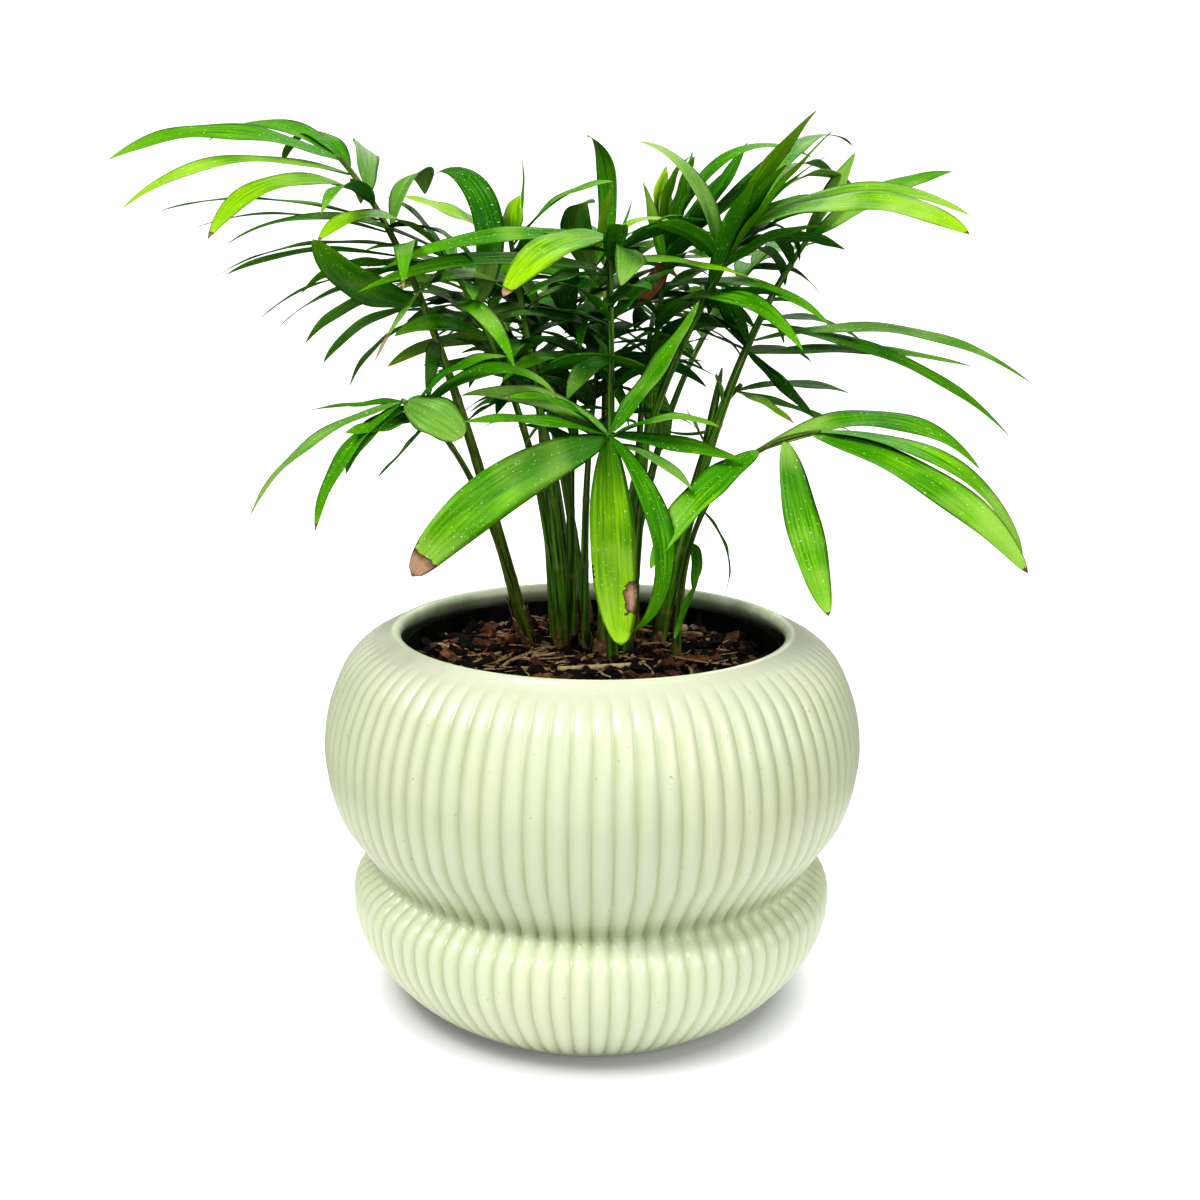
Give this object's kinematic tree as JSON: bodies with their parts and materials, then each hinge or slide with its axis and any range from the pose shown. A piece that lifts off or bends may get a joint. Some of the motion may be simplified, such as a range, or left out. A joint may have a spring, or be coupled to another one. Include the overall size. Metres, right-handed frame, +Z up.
{
  "type": "potted parlour palm",
  "caption": "Clump of slender green canes with arching feather fronds, rooted in bark mix in a ribbed, waisted, pale green glazed pot.",
  "frame": {"origin": "centre of the pot's flat underside, where it stands", "axes": "+Z up along the pot's axis; the side seen in the reference view faces -Y, with +X to its right"},
  "size_m": [0.3373, 0.3249, 0.3527],
  "materials": {
    "pot_glaze": "satin celadon glaze",
    "liner_plastic": "thin black nursery pot",
    "bark_mix": "loose bark chips and fibre",
    "stem_green": "smooth green cane with pale streaks",
    "leaf_green": "satin leaf with fine parallel veins"
  },
  "bodies": {
    "root": {"pot": "pot_glaze", "liner": "liner_plastic", "soil": "bark_mix", "stem_left_high": "stem_green", "frond_left_high": "leaf_green", "stem_left_inner": "stem_green", "frond_left_inner": "leaf_green", "stem_left_low": "stem_green", "frond_left_low": "leaf_green", "stem_left_back": "stem_green", "frond_left_back": "leaf_green", "stem_top_left": "stem_green", "frond_top_left": "leaf_green", "stem_top_middle": "stem_green", "frond_top_middle": "leaf_green", "stem_centre_back": "stem_green", "frond_centre_back": "leaf_green", "stem_centre_high": "stem_green", "frond_centre_high": "leaf_green", "stem_centre_front": "stem_green", "frond_centre_front": "leaf_green", "stem_top_right": "stem_green", "frond_top_right": "leaf_green", "stem_right_high": "stem_green", "frond_right_high": "leaf_green", "stem_right_far": "stem_green", "frond_right_far": "leaf_green", "stem_right_spur": "stem_green", "frond_right_spur": "leaf_green", "stem_right_low": "stem_green", "frond_right_low": "leaf_green", "stem_back_left": "stem_green", "frond_back_left": "leaf_green", "stem_back_mid_left": "stem_green", "frond_back_mid_left": "leaf_green", "stem_back_middle": "stem_green", "frond_back_middle": "leaf_green", "stem_back_mid_right": "stem_green", "frond_back_mid_right": "leaf_green", "stem_back_right": "stem_green", "frond_back_right": "leaf_green"}
  },
  "joints": []
}
